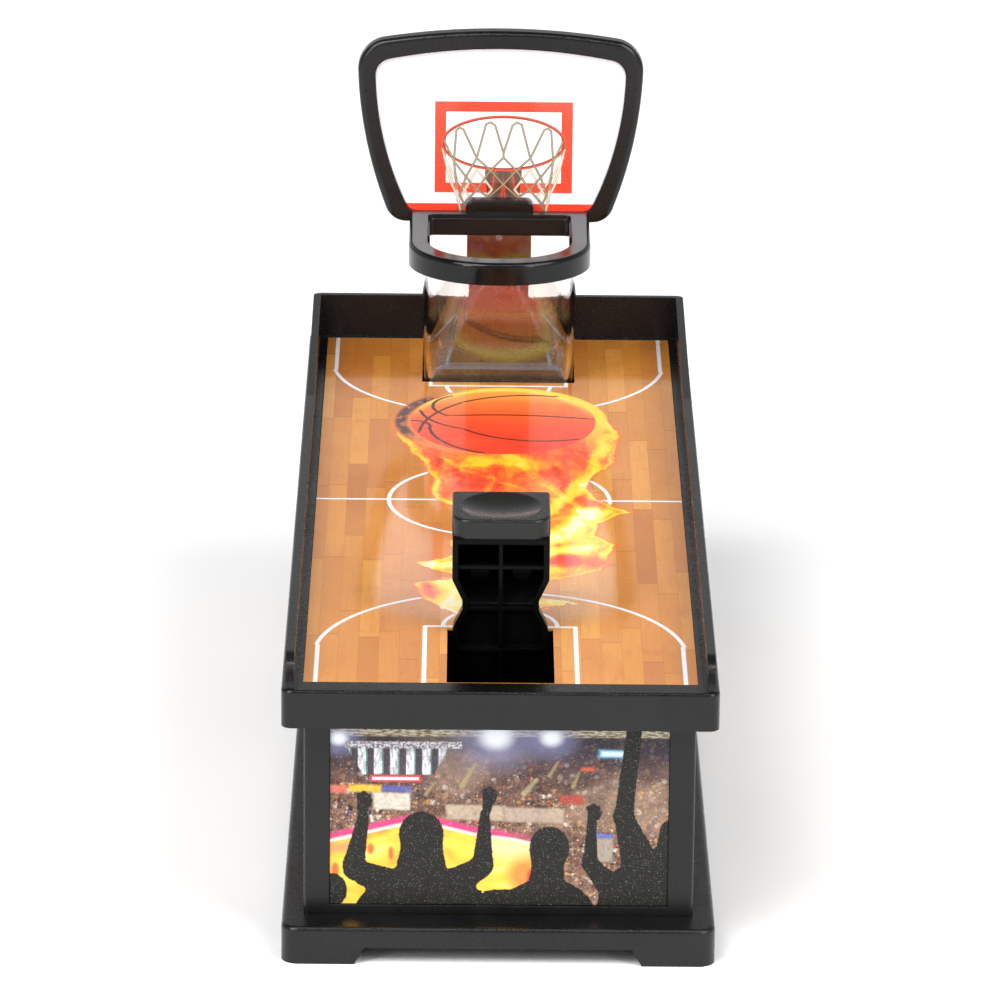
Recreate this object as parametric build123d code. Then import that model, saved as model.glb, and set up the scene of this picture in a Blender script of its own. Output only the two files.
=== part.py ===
from build123d import *
import os
from math import atan2, cos, degrees, radians, sin, tan

# Tabletop basketball game: a picture-sided plinth with a sloping court, a spring-back
# shooting lever at the player's end and a clear ball hopper under a backboard.
# Millimetres. X is across, +Y is away from the player, +Z is up, and the origin is on the
# table under the middle of the base.

# ---- overall sizes ----
width = 115.0            # base and tray lip, across
length = 312.0           # base and tray lip, front to back
base_height = 10.3
body_height = 55.9
lip_height = 10.4        # tray lip, at the player's end
court_slope = 1.2        # degrees, falls towards the player
back_wall_rise = 13.0    # back wall above the court ledge
board_height = 59.3
board_width = 85.6       # at its widest

# ---- shared walls and clearances ----
wall = 2.4
thin_wall = 1.6
sheet = 0.5              # printed court sheet
print_sheet = 0.4        # printed pictures
sheet_gap = 0.15         # round every printed sheet
fit_gap = 0.3            # between separate mouldings
screw_radius = 1.2
screw_bite = 0.05        # radial gap where a screw grips
screw_clear = 0.25       # radial gap where it passes through
head_radius = 2.6
head_height = 1.7
boss_side = 6.4

# ---- base ----
base_corner = 4.5
foot_height = 4.6
foot_length = 22.0       # each foot, along the base's edge
foot_slant = 3.2

# ---- body ----
body_inset = 10.4        # body front and back from the base edge
body_side_inset = 5.75
body_wall = 2.4
column_width = 6.8       # corner column beside a picture
picture_strip = 2.6      # strip above and below a picture
picture_recess = 1.0

# ---- tray ----
tray_corner = 3.0
side_ledge = 5.5         # lip edge to court edge, at the sides
front_ledge = 7.0
back_ledge = 4.6
rail_inset = 1.2         # rail's outer face from the lip edge
rail_wall = 2.2
rail_rise = 8.0          # rail above the court ledge
rail_nose = 7.4          # radius of the rails' front ends
rail_break = 225.0       # from the front: the rail starts to climb to the back wall
sheet_drop = 0.15        # court surface below its ledge

# ---- launcher ----
lever_width = 26.0
slot_gap = 1.2           # lever to slot, each side
slot_length = 41.4
slot_front = 7.7         # front edge of the slot from the tray's front
pin_depth = 26.7         # pin below the court
pin_inset = 2.9          # pin in front of the slot's back edge
pin_radius = 1.5
hub_radius = 5.0
lever_waist = 20.5
lever_thickness = 4.4
lever_rise = 27.0        # top of the lever above the court
lever_skin = 1.6
pad_overhang = 0.15      # pad past the lever, each side
pad_depth = 23.0
pad_thickness = 5.3
pad_tilt = 2.4           # degrees
dish_radius = 10.75
dish_depth = 1.6
run_gap = 0.08           # lever hub on its pin
coil_radius = 2.9
wire_radius = 0.45
coil_turns = 5.25
coil_pitch = 1.1

# ---- hopper, rim and board ----
mouth_width = 43.0       # opening of the rim
mouth_length = 48.9
rim_side = 5.6           # flange round the opening
rim_height = 6.6
rim_rise = 43.1          # rim's top above the court at the hopper's foot
bin_wall = 1.8
bin_lip = 1.8            # hopper wall outside the opening
bin_foot_width = 44.4
bin_foot_length = 34.3
foot_socket_gap = 0.6
socket_depth = 5.2
column_thick = 5.6
post_width = 19.5
bead = 5.2               # backboard edge bead
low_bead = 3.4           # the same along its lower edge
board_drop = 4.2         # backboard's lower edge below the rim's top
board_depth = 6.0
web = 1.6
rear_gap = 0.4           # column to back wall
clip_width = 20.4
clip_height = 3.9
rib = 1.1                # lever's stiffening ribs
rib_step = 11.6
stop_width = 16.0
stop_depth = 3.8

CEN = (Align.CENTER, Align.CENTER, Align.MIN)


def block(x0, x1, y0, y1, z0, z1):
    return Pos((x0 + x1) / 2, (y0 + y1) / 2, z0) * Box(x1 - x0, y1 - y0, z1 - z0, align=CEN)


def side_prism(points, x0, x1):
    """Prism of a Y-Z outline between two X values."""
    face = Plane.YZ * make_face(Polyline(*[(y, z) for y, z in points], close=True))
    return Pos(x0, 0, 0) * extrude(face, amount=x1 - x0, dir=(1, 0, 0))


def front_prism(points, y0, y1):
    """Prism of an X-Z outline between two Y values."""
    wire = Polyline(*[(x, y0, z) for x, z in points], close=True)
    return extrude(make_face(wire), amount=y1 - y0, dir=(0, 1, 0))


def rod(start, end, radius):
    a, b = Vector(*start), Vector(*end)
    return Plane(origin=a, z_dir=(b - a).normalized()) * Cylinder(
        radius, (b - a).length, align=CEN
    )


def screw(seat, tip, radius=screw_radius):
    """Pan-head screw: its head lies behind the seat point, its tip at the other."""
    a, b = Vector(*seat), Vector(*tip)
    along = (b - a).normalized()
    head = rod(a - along * head_height, a, head_radius)
    slot_plane = Plane(origin=a - along * head_height, z_dir=along)
    cross = slot_plane * (Box(0.7, 3.0, 1.6) + Box(3.0, 0.7, 1.6))
    return head - cross + rod(a, b, radius)


def one(shape):
    """The single solid of a shape, so a stray piece is noticed."""
    solids = shape.solids()
    if len(solids) != 1:
        raise ValueError(f"expected one solid, found {len(solids)}")
    return solids[0]


def save(name, shape):
    shape.label = name
    export_step(shape, os.path.join("parts", name + ".step"))


os.makedirs("parts", exist_ok=True)

# ---- derived places ----
hw, hl = width / 2, length / 2
grade = tan(radians(court_slope))
body_hw, body_hl = hw - body_side_inset, hl - body_inset
body_top = base_height + body_height


def ledge_z(y):
    return body_top + lip_height + (y + hl) * grade


def court_z(y):
    return ledge_z(y) - sheet_drop


def floor_z(y):
    """Top of the tray floor, under the court sheet."""
    return court_z(y) - sheet


# ---- base ----
base = block(-hw, hw, -hl, hl, 0, base_height)
base = fillet(base.edges().filter_by(Axis.Z), base_corner)
base = fillet(base.faces().sort_by(Axis.Z)[-1].edges(), 1.2)
base -= block(-hw + wall, hw - wall, -hl + wall, hl - wall, -1, base_height - wall)
fx, fy = hw - foot_length, hl - foot_length
base -= front_prism(
    [(-fx - foot_slant, -1), (fx + foot_slant, -1), (fx, foot_height), (-fx, foot_height)],
    -hl - 1, hl + 1)
base -= side_prism(
    [(-fy - foot_slant, -1), (fy + foot_slant, -1), (fy, foot_height), (-fy, foot_height)],
    -hw - 1, hw + 1)
inner_x = body_hw - body_wall
boss_x = inner_x - boss_side / 2
base_points = [(sx * boss_x, y) for sx in (-1, 1) for y in (-body_hl * 0.9, 0, body_hl * 0.9)]
for x, y in base_points:
    base -= rod((x, y, base_height - wall - 1), (x, y, base_height + 1), screw_radius + screw_clear)
save("base_plate", one(base))

# ---- body shell ----
body = block(-body_hw, body_hw, -body_hl, body_hl, base_height, body_top)
body = fillet(body.edges().filter_by(Axis.Z), 1.2)
body -= block(-inner_x, inner_x, -body_hl + body_wall, body_hl - body_wall,
              base_height - 1, body_top + 1)
pic_z0, pic_z1 = base_height + picture_strip, body_top - picture_strip
pic_x, pic_y = body_hw - column_width, body_hl - column_width
for s in (-1, 1):
    face_y, deep_y = sorted((s * (body_hl + 1), s * (body_hl - picture_recess)))
    body -= block(-pic_x, pic_x, face_y, deep_y, pic_z0, pic_z1)
    face_x, deep_x = sorted((s * (body_hw + 1), s * (body_hw - picture_recess)))
    body -= block(face_x, deep_x, -pic_y, pic_y, pic_z0, pic_z1)
screw_length = 10.0


def boss_span(x):
    """X range of a boss at x that runs into the side wall."""
    s = 1 if x > 0 else -1
    return sorted((x - s * boss_side / 2, s * (inner_x + 0.4)))


for x, y in base_points:
    x0, x1 = boss_span(x)
    body += block(x0, x1, y - boss_side / 2, y + boss_side / 2,
                  base_height, base_height + screw_length + 4)
    body -= rod((x, y, base_height - 1), (x, y, base_height + screw_length + 1), screw_radius + screw_bite)
tray_points = [(sx * boss_x, y) for sx in (-1, 1)
               for y in (-body_hl * 0.62, body_hl * 0.2, body_hl * 0.76)]
for x, y in tray_points:
    x0, x1 = boss_span(x)
    body += block(x0, x1, y - boss_side / 2, y + boss_side / 2, body_top - wall, body_top)
    body -= rod((x, y, body_top - wall - 1), (x, y, body_top + 1), screw_radius + screw_clear)
save("body_shell", one(body))

# ---- pictures ----
g = sheet_gap
for s, name in ((-1, "picture_front"), (1, "picture_back")):
    y0, y1 = sorted((s * (body_hl - picture_recess), s * (body_hl - picture_recess + print_sheet)))
    save(name, one(block(-pic_x + g, pic_x - g, y0, y1, pic_z0 + g, pic_z1 - g)))
for s, name in ((-1, "picture_left"), (1, "picture_right")):
    x0, x1 = sorted((s * (body_hw - picture_recess), s * (body_hw - picture_recess + print_sheet)))
    save(name, one(block(x0, x1, -pic_y + g, pic_y - g, pic_z0 + g, pic_z1 - g)))

# ---- tray ----
rail_x, rail_y = hw - rail_inset, hl - rail_inset
back_top = ledge_z(hl) + back_wall_rise
back_inner = rail_y - rail_wall
court_x = hw - side_ledge
court_y0, court_y1 = -hl + front_ledge, hl - back_ledge
slot_y0 = -hl + slot_front
slot_y1 = slot_y0 + slot_length
slot_x = lever_width / 2 + slot_gap

lip = side_prism([(-hl, body_top), (hl, body_top), (hl, ledge_z(hl)), (-hl, ledge_z(-hl))], -hw, hw)
lip = fillet(lip.edges().filter_by(Axis.Z), tray_corner)
lip = fillet(lip.faces().sort_by(Axis.Z)[-1].edges(), 0.8)

break_y = -hl + rail_break
nose_y = -hl + 1.6
rail_profile = [
    (nose_y, body_top + 4), (rail_y, body_top + 4), (rail_y, back_top),
    (back_inner, back_top), (break_y, ledge_z(break_y) + rail_rise),
    (nose_y, ledge_z(nose_y) + rail_rise)]
rails = side_prism(rail_profile, -rail_x, rail_x)
rails = fillet(rails.edges().filter_by(Axis.Z).group_by(Axis.Y)[-1], tray_corner - 0.6)
nose_edge = rails.edges().filter_by(Axis.X).filter_by(
    lambda e: abs(e.center().Y - nose_y) < 0.01 and e.center().Z > body_top + 6)
rails = fillet(nose_edge, min(rail_nose, rail_rise - 0.4))
rails -= block(-rail_x + rail_wall, rail_x - rail_wall, -hl - 5, back_inner, 0, back_top + 5)

skirt_x, skirt_y = hw - wall, hl - wall
hollow = side_prism(
    [(-skirt_y, body_top - 1), (skirt_y, body_top - 1), (skirt_y, floor_z(skirt_y) - wall),
     (-skirt_y, floor_z(-skirt_y) - wall)], -skirt_x, skirt_x)
tray = lip + rails - hollow
recess = side_prism(
    [(court_y0, floor_z(court_y0)), (court_y1, floor_z(court_y1)),
     (court_y1, ledge_z(court_y1) + 2), (court_y0, ledge_z(court_y0) + 2)], -court_x, court_x)
tray -= recess

# collar of the lever slot, with a slanted front
collar = 1.8
tray += side_prism(
    [(slot_y0 - collar, floor_z(slot_y0) - 1), (slot_y1 + collar, floor_z(slot_y1) - 1),
     (slot_y1 + collar, body_top + 0.2), (-body_hl + body_wall - 1.4, body_top + 0.2)],
    -slot_x - collar, slot_x + collar)
slant_in = -body_hl + body_wall + 1.6
tray -= side_prism(
    [(slot_y0, ledge_z(slot_y0) + 2), (slot_y1, ledge_z(slot_y1) + 2), (slot_y1, body_top - 1),
     (slant_in, body_top - 1), (slant_in, body_top + 0.2), (slot_y0, floor_z(slot_y0) - wall)],
    -slot_x, slot_x)

# hopper socket
col_y0 = back_inner - rear_gap - column_thick
rim_y1 = col_y0 - fit_gap
mouth_y1 = rim_y1 - rim_side
bin_back = mouth_y1 + bin_lip + 0.6
foot_y1 = bin_back
foot_y0 = foot_y1 - bin_foot_length
foot_x = bin_foot_width / 2
sock = foot_socket_gap
socket_floor = court_z(foot_y0) - socket_depth
tray += block(-foot_x - sock - thin_wall, foot_x + sock + thin_wall, foot_y0 - sock - thin_wall,
              foot_y1 + sock + thin_wall, socket_floor - thin_wall, floor_z(foot_y0) - 1)
tray -= block(-foot_x - sock, foot_x + sock, foot_y0 - sock, foot_y1 + sock,
              socket_floor, ledge_z(hl) + 2)

# bosses for the body screws
for x, y in tray_points:
    tray += block(x - boss_side / 2, x + boss_side / 2, y - boss_side / 2, y + boss_side / 2,
                  body_top, floor_z(y) - 1)
    tray -= rod((x, y, body_top - 1), (x, y, body_top + screw_length - wall + 0.6),
                screw_radius + screw_bite)

# bosses for the launcher bracket
well_x = slot_x + 0.4
well_y0 = -body_hl + body_wall + fit_gap
bracket_wall = 2.0
ear = 8.0
ear_inset = 9.1
pin_y = slot_y1 - pin_inset
pin_z = court_z(pin_y) - pin_depth
ear_x = well_x + bracket_wall + ear / 2
bracket_points = [(sx * ear_x, y) for sx in (-1, 1) for y in (pin_y + 1.5, well_y0 + ear_inset)]
for x, y in bracket_points:
    tray += rod((x, y, body_top), (x, y, floor_z(y) - 1), boss_side / 2)
    tray -= rod((x, y, body_top - 1), (x, y, body_top + 6.6), screw_radius + screw_bite)

# foot of the column: a notch in the ledge and two screw holes
col_y1 = col_y0 + board_depth - 0.2
col_hx = post_width / 2
tray -= side_prism(
    [(col_y0, floor_z(col_y0)), (col_y1 + 0.15, floor_z(col_y1 + 0.15)),
     (col_y1 + 0.15, ledge_z(col_y1) + 2), (col_y0, ledge_z(col_y0) + 2)],
    -col_hx - fit_gap, col_hx + fit_gap)
col_screws = [(-col_hx * 0.55, (col_y0 + col_y1) / 2), (col_hx * 0.55, (col_y0 + col_y1) / 2)]
for x, y in col_screws:
    tray -= rod((x, y, floor_z(y) - wall - 1), (x, y, floor_z(y) + 1), screw_radius + screw_clear)
save("tray", one(tray))

# ---- court sheet ----
court = side_prism(
    [(court_y0 + g, floor_z(court_y0 + g)), (court_y1 - g, floor_z(court_y1 - g)),
     (court_y1 - g, court_z(court_y1 - g)), (court_y0 + g, court_z(court_y0 + g))],
    -court_x + g, court_x - g)
court -= block(-slot_x, slot_x, slot_y0, slot_y1, 0, 200)
court -= block(-foot_x - sock, foot_x + sock, foot_y0 - sock, court_y1 + 5, 0, 200)
save("court_sheet", one(court))

# ---- launcher bracket ----
lever_back = slot_y1 - 0.7
lever_front = lever_back - lever_thickness
stop_y0 = lever_back + fit_gap
well_y1 = stop_y0 + stop_depth + thin_wall
well_z0 = pin_z - hub_radius - 3.4
bracket_top = body_top
bracket = block(-well_x - bracket_wall, well_x + bracket_wall, well_y0, well_y1,
                well_z0, bracket_top)
bracket -= block(-well_x, well_x, well_y0 + thin_wall, well_y1 - thin_wall,
                 well_z0 + 2.0, bracket_top + 1)
for x, y in bracket_points:
    s = 1 if x > 0 else -1
    x0, x1 = sorted((s * (well_x + bracket_wall - 0.5), s * (well_x + bracket_wall + ear)))
    bracket += block(x0, x1, y - ear / 2, y + ear / 2, bracket_top - wall, bracket_top)
    bracket -= rod((x, y, bracket_top - wall - 1), (x, y, bracket_top + 1), screw_radius + screw_clear)
hook_z = pin_z - coil_radius + wire_radius + 0.15
spring_bay = coil_turns * coil_pitch / 2 + 1.6
bracket += block(-spring_bay + 0.5, -0.5, well_y1 - thin_wall - 2.2, well_y1 - 0.5,
                 hook_z, hook_z + 2.4)
bracket -= rod((-well_x - 5, pin_y, pin_z), (well_x + 5, pin_y, pin_z), pin_radius + 0.02)
save("launcher_bracket", one(bracket))

# ---- stop block: the lever rests against it ----
stop_z = pin_z + 10.0
save("stop_block", one(block(-stop_width / 2, stop_width / 2, stop_y0, well_y1 - thin_wall,
                             stop_z - 4, stop_z + 4)))

# ---- lever ----
lever_top = court_z(lever_front) + lever_rise
half, waist = lever_width / 2, lever_waist / 2
skin = lever_skin
lug_top = pin_z + 6.5
neck = court_z(lever_front)


def lever_outline(inset):
    """X-Z outline of the lever, moved inwards by inset."""
    right = [(half - inset, lever_top - inset), (half - inset, neck + 15.6),
             (waist - inset, neck + 9.8), (waist - inset, neck + 7.2),
             (half - 0.2 - inset, neck + 2.0), (half - 0.2 - inset, pin_z - 1 + inset)]
    return right + [(-x, z) for x, z in reversed(right)]


def lever_slab(inset, y0, y1):
    solid = front_prism(lever_outline(inset), y0, y1)
    bends = solid.edges().filter_by(Axis.Y).filter_by(
        lambda e: neck + 1 < e.center().Z < neck + 17)
    return fillet(bends, 2.2)


flare_z = neck + 7.0
pad_back = lever_front + pad_depth
side_shape = [
    (lever_front, pin_z - 2), (lever_back, pin_z - 2), (lever_back, flare_z),
    (pad_back - 1.0, lever_top - 1.0), (pad_back - 1.0, lever_top), (lever_front, lever_top)]
inner_shape = [
    (lever_front - 1, pin_z - 3), (lever_back - skin, pin_z - 3), (lever_back - skin, flare_z),
    (pad_back - 1.0 - 2 * skin, lever_top - 1.0 - skin), (pad_back - 1.0 - 2 * skin, lever_top - skin),
    (lever_front - 1, lever_top - skin)]
lever = lever_slab(0, lever_front - 2, pad_back + 2) & side_prism(side_shape, -20, 20)
hollow = lever_slab(skin, lever_front - 3, pad_back + 3) & side_prism(inner_shape, -20, 20)
ribs = block(-rib / 2, rib / 2, lever_front + 0.8, pad_back, lug_top, lever_top - 0.5)
rib_z = [lever_top - 8.2 - i * rib_step for i in range(4)]
for z in rib_z:
    ribs += block(-half, half, lever_front + 0.8, pad_back, z - rib / 2, z + rib / 2)
ejector_z = rib_z[0] - 3.4
ejectors = Compound(
    [rod((sx * 5.6, lever_back - skin + 5.0, ejector_z), (sx * 5.6, pad_back, ejector_z), 2.6)
     for sx in (-1, 1)])
lever = lever - (hollow - ribs - ejectors)
lever -= block(-spring_bay, spring_bay, lever_front - 5, lever_back + 5, pin_z - 10, lug_top)
lever -= block(-half + 2 * skin, half - 2 * skin, lever_front - 5, lever_back + 5, pin_z - 10, pin_z + 4)
for s in (-1, 1):
    x0, x1 = sorted((s * spring_bay, s * (half - 0.2)))
    lever += rod((x0, pin_y, pin_z), (x1, pin_y, pin_z), hub_radius)
lever -= rod((-half - 5, pin_y, pin_z), (half + 5, pin_y, pin_z), pin_radius + run_gap)
peg_points = [(s * half * 0.55, (lever_front + pad_back) / 2 + 2) for s in (-1, 1)]
for x, y in peg_points:
    lever -= rod((x, y, lever_top - skin - 1), (x, y, lever_top + 1), 1.5 + screw_bite)
save("launcher_lever", one(lever))

# ---- finger pad ----
tilt = tan(radians(pad_tilt))
pad_hx = half + pad_overhang
pad_y0, pad_y1 = lever_front, pad_back
pad = side_prism(
    [(pad_y0, lever_top), (pad_y1, lever_top), (pad_y1, lever_top + pad_thickness + pad_depth * tilt),
     (pad_y0, lever_top + pad_thickness)], -pad_hx, pad_hx)
pad = fillet(pad.edges().filter_by(Axis.Z).group_by(Axis.Y)[0], 5.0)
pad = fillet(pad.edges().filter_by(Axis.Z).group_by(Axis.Y)[-1], 1.2)
pad = fillet(pad.faces().sort_by(Axis.Z)[-1].edges(), 0.7)
ball_r = (dish_radius ** 2 + dish_depth ** 2) / (2 * dish_depth)
mid_y = (pad_y0 + pad_y1) / 2
mid_z = lever_top + pad_thickness + pad_depth / 2 * tilt
pad -= Pos(0, mid_y - (ball_r - dish_depth) * sin(radians(pad_tilt)),
           mid_z + (ball_r - dish_depth) * cos(radians(pad_tilt))) * Sphere(ball_r)
for x, y in peg_points:
    pad += rod((x, y, lever_top - skin), (x, y, lever_top + 1), 1.5)
save("finger_pad", one(pad))

# ---- pin, clips and spring ----
pin_x = well_x + bracket_wall + 1.6
pin = rod((-pin_x, pin_y, pin_z), (pin_x, pin_y, pin_z), pin_radius)
clips = []
clip_in = well_x + bracket_wall + 0.1
for s in (-1, 1):
    x0, x1 = sorted((s * clip_in, s * (clip_in + 0.6)))
    ring = rod((x0, pin_y, pin_z), (x1, pin_y, pin_z), 3.0)
    ring -= rod((x0 - 1, pin_y, pin_z), (x1 + 1, pin_y, pin_z), pin_radius - 0.25)
    ring -= block(x0 - 1, x1 + 1, pin_y - 0.9, pin_y + 0.9, pin_z - 5, pin_z)
    clips.append(one(ring))
    groove = rod((x0 - 0.05, pin_y, pin_z), (x1 + 0.05, pin_y, pin_z), pin_radius + 1)
    groove -= rod((x0 - 1, pin_y, pin_z), (x1 + 1, pin_y, pin_z), pin_radius - 0.3)
    pin -= groove
save("lever_pin", one(pin))
save("pin_clips", Compound(clips))

coil_length = coil_turns * coil_pitch
helix = Helix(pitch=coil_pitch, height=coil_length, radius=coil_radius, lefthand=True)
coil = sweep(Plane(origin=helix @ 0, z_dir=helix % 0) * Circle(wire_radius), path=helix,
             is_frenet=True)
coil = Pos(-coil_length / 2, pin_y, pin_z) * Rot(0, 90, 0) * coil
low = (-coil_length / 2, pin_y, pin_z - coil_radius)
high = (coil_length / 2, pin_y - coil_radius, pin_z)
legs = [rod(low, (low[0], well_y1 - thin_wall - 0.5, low[2]), wire_radius),
        rod(high, (high[0], lever_back - skin - wire_radius - 0.35, pin_z + 9.0), wire_radius)]
knees = [Pos(*end) * Sphere(wire_radius * 1.1) for end in (low, high)]
spring = coil.fuse(*knees, *legs)
save("return_spring", one(spring))

# ---- hopper ----
mouth_x = mouth_width / 2
rim_top = court_z(foot_y0) + rim_rise
mouth_y0 = mouth_y1 - mouth_length
bin_top = rim_top - 2.4


def bin_profile(hx, y0, y1, front_r, back_r, z):
    """Rounded outline with matching edges at every height."""
    a = 0.7071
    with BuildLine(Plane.XY.offset(z)) as line:
        Line((-hx + back_r, y1), (hx - back_r, y1))
        ThreePointArc((hx - back_r, y1), (hx - back_r + a * back_r, y1 - back_r + a * back_r),
                      (hx, y1 - back_r))
        Line((hx, y1 - back_r), (hx, y0 + front_r))
        ThreePointArc((hx, y0 + front_r), (hx - front_r + a * front_r, y0 + front_r - a * front_r),
                      (hx - front_r, y0))
        Line((hx - front_r, y0), (-hx + front_r, y0))
        ThreePointArc((-hx + front_r, y0), (-hx + front_r - a * front_r, y0 + front_r - a * front_r),
                      (-hx, y0 + front_r))
        Line((-hx, y0 + front_r), (-hx, y1 - back_r))
        ThreePointArc((-hx, y1 - back_r), (-hx + back_r - a * back_r, y1 - back_r + a * back_r),
                      (-hx + back_r, y1))
    return make_face(line.line)


def hopper(inset, z0, z1):
    """Solid inside of the hopper's walls moved inwards by inset."""
    top_x = mouth_x + bin_lip - inset
    low_x = foot_x - inset
    back_r = 2.4 - inset / 2
    top = bin_profile(top_x, mouth_y0 - bin_lip + inset, bin_back - inset, top_x - 2.0, back_r, z1)
    low = bin_profile(low_x, foot_y0 + inset, bin_back - inset, 2.6 - inset / 2, back_r, z0)
    return loft([low, top], ruled=True)


foot_z = court_z(foot_y0) + 0.6
shell = hopper(0, foot_z, bin_top)
plug = extrude(bin_profile(foot_x, foot_y0, bin_back, 2.6, 2.4, socket_floor), foot_z - socket_floor)
cavity = hopper(bin_wall, foot_z, bin_top)
cavity += extrude(bin_profile(foot_x - bin_wall, foot_y0 + bin_wall, bin_back - bin_wall,
                              2.6 - bin_wall / 2, 2.4 - bin_wall / 2, socket_floor + bin_wall),
                  foot_z - socket_floor - bin_wall)
cavity += extrude(bin_profile(mouth_x + bin_lip - bin_wall, mouth_y0 - bin_lip + bin_wall,
                              bin_back - bin_wall, mouth_x + bin_lip - bin_wall - 2.0,
                              2.4 - bin_wall / 2, bin_top), 3)
save("hopper", one(shell + plug - cavity))

# ---- rim ----
rim_x = mouth_x + rim_side


def d_shape(hx, y0, y1, corner, z0, z1):
    face = bin_profile(hx, y0, y1, hx - 2.0, corner, z0)
    return extrude(face, z1 - z0)


rim = d_shape(rim_x, mouth_y0 - rim_side - 0.6, rim_y1, 2.5, rim_top - rim_height, rim_top)
rim = fillet(rim.faces().sort_by(Axis.Z)[-1].edges(), 1.4)
rim -= d_shape(mouth_x, mouth_y0, mouth_y1, 2.0, rim_top - rim_height - 1, rim_top + 1)
rim -= d_shape(mouth_x + bin_lip + 0.15, mouth_y0 - bin_lip - 0.15, bin_back + 0.15, 2.4,
               rim_top - rim_height - 1, bin_top + 0.1)
clip_x = clip_width / 2
clip_y0 = rim_y1 - 4.4
clip = block(-clip_x, clip_x, clip_y0, rim_y1, rim_top - 1.6, rim_top + clip_height)
clip = fillet(clip.edges().filter_by(Axis.Y).group_by(Axis.Z)[-1], 2.2)
clip = fillet(clip.faces().sort_by(Axis.Y)[0].edges().group_by(Axis.Z)[-1], 0.8)
clip -= block(-clip_x + 2.4, clip_x - 2.4, clip_y0 - 1, clip_y0 + 1.0, rim_top + 0.3, rim_top + 1.9)
rim += clip
board_screw_z = rim_top + 2.0
board_screw_x = 5.0


def board_hole(s, y0, y1, gap):
    """Hole for a backboard screw between two Y values."""
    x = s * board_screw_x
    return rod((x, y0, board_screw_z), (x, y1, board_screw_z), screw_radius + gap)


for s in (-1, 1):
    rim -= board_hole(s, clip_y0 + 1.2, rim_y1 + 1, screw_bite)
save("rim", one(rim))

# ---- column ----
board_bottom = rim_top - board_drop
board_y0 = rim_y1 + fit_gap
board_y1 = board_y0 + board_depth
web_y0 = board_y0 + thin_wall
web_y1 = web_y0 + web
tongue_y0, tongue_y1 = web_y1 + 0.2, board_y1 - 0.2
tongue_x = col_hx - 1.2
tongue_top = board_bottom + board_height / 2
col_foot = floor_z((col_y0 + col_y1) / 2)
column = side_prism(
    [(col_y0, floor_z(col_y0)), (col_y1, floor_z(col_y1)), (col_y1, board_bottom - fit_gap),
     (col_y0, board_bottom - fit_gap)], -col_hx, col_hx)
column = fillet(column.edges().filter_by(Axis.Z), 0.6)
column += block(-tongue_x, tongue_x, tongue_y0, tongue_y1, board_bottom - 3, tongue_top)
column += block(-tongue_x, tongue_x, tongue_y0 - 1.0, tongue_y1,
                board_bottom - 3, board_bottom - fit_gap)
hole_z = board_bottom - 4.4
column -= rod((0, col_y0 - 1, hole_z), (0, col_y1 + 1, hole_z), 1.0)
for x, y in col_screws:
    column -= rod((x, y, col_foot - 2), (x, y, col_foot + screw_length), screw_radius + screw_bite)
for s in (-1, 1):
    column -= board_hole(s, tongue_y0 - 1, tongue_y1 + 1, screw_clear)
save("column", one(column))

# ---- backboard ----
board_hx = board_width / 2
board_top = board_bottom + board_height


def board_face(inset, y):
    """Backboard outline: arched top, sides that taper to a narrower bottom."""
    top, low = board_top - inset, board_bottom + inset * low_bead / bead
    up = Plane(origin=(0, y, 0), x_dir=(1, 0, 0), z_dir=(0, -1, 0))
    shoulder = (board_hx + 0.2 - inset, top - 4.2)
    heel = (board_hx * 0.762 - inset, low)
    belly = (board_hx - 1.6 - inset, (low + top) / 2)
    with BuildLine(up) as line:
        ThreePointArc((-shoulder[0], shoulder[1]), (0, top), shoulder)
        ThreePointArc(shoulder, belly, heel)
        Line(heel, (-heel[0], heel[1]))
        ThreePointArc((-heel[0], heel[1]), (-belly[0], belly[1]), (-shoulder[0], shoulder[1]))
    return make_face(line.line)


def board_slab(inset, y0, y1, top_r, low_r):
    solid = extrude(board_face(inset, y0), amount=y1 - y0, dir=(0, 1, 0))
    uprights = solid.edges().filter_by(Axis.Y)
    solid = fillet(uprights.group_by(Axis.Z)[-1], top_r)
    return fillet(solid.edges().filter_by(Axis.Y).group_by(Axis.Z)[0], low_r)


frame = board_slab(0, board_y0, board_y1, 9.5, 6.5)
frame = fillet(frame.faces().sort_by(Axis.Y)[0].edges(), 1.6)
frame = fillet(frame.faces().sort_by(Axis.Y)[-1].edges(), 1.0)
frame -= board_slab(bead, board_y0 - 1, web_y0, 5.5, 3.5)
frame -= board_slab(bead, web_y1, board_y1 + 1, 5.5, 3.5)
frame -= block(-tongue_x - fit_gap, tongue_x + fit_gap, web_y1, board_y1 + 1,
               board_bottom - 1, board_bottom + bead + 1)
for s in (-1, 1):
    x0, x1 = sorted((s * (tongue_x + fit_gap), s * (tongue_x + fit_gap + thin_wall)))
    frame += block(x0, x1, web_y1 - 0.4, tongue_y1, board_bottom + bead - 0.5, tongue_top - 3)
    frame -= board_hole(s, board_y0 - 1, board_y1, screw_clear)
save("backboard_frame", one(frame))
board_print = board_slab(bead + g, web_y0 - print_sheet, web_y0, 5.3, 3.3)
for s in (-1, 1):
    board_print -= board_hole(s, board_y0, board_y1, screw_clear)
save("backboard_print", one(board_print))

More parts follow.
